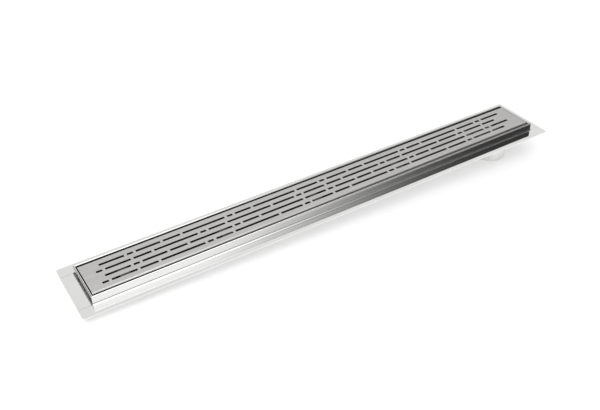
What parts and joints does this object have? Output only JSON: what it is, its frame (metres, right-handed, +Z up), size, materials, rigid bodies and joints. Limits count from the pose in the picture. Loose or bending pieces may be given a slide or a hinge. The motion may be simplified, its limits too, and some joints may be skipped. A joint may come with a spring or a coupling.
{
  "type": "channel drain",
  "caption": "Long stainless steel shower channel with a mounting flange, a slotted lift-out cover, a round downward outlet and a siphon insert.",
  "frame": {"origin": "under the middle of the channel's length and width, level with the lower end of the outlet", "axes": "+X along the channel towards the outlet end, +Y to the back, +Z up"},
  "size_m": [0.842, 0.117, 0.062],
  "materials": {
    "bright_steel": "bright cold-rolled stainless sheet, nearly mirror, faint rolling grain",
    "outlet_steel": "satin stainless tube with a weld seam at the trough",
    "brushed_cover": "fine grain brushed along the length, darker cut edges",
    "strap_steel": "plain mill-finish stainless strip",
    "siphon_plastic": "light grey moulded polypropylene, satin",
    "rubber": "matt black rubber"
  },
  "bodies": {
    "root": {"channel_body": "bright_steel", "end_plate_left": "bright_steel", "end_plate_right": "bright_steel", "outlet_spigot": "outlet_steel", "cover_grate": "brushed_cover", "siphon_cup": "siphon_plastic", "siphon_dip_tube": "siphon_plastic", "hair_strainer": "siphon_plastic", "siphon_seal_ring": "rubber", "support_strap_1": "strap_steel", "support_strap_2": "strap_steel", "support_strap_3": "strap_steel", "support_strap_4": "strap_steel", "support_strap_5": "strap_steel", "pad_front_1": "rubber", "pad_back_1": "rubber", "pad_front_2": "rubber", "pad_back_2": "rubber", "pad_front_3": "rubber", "pad_back_3": "rubber", "pad_front_4": "rubber", "pad_back_4": "rubber", "pad_front_5": "rubber", "pad_back_5": "rubber"}
  },
  "joints": []
}
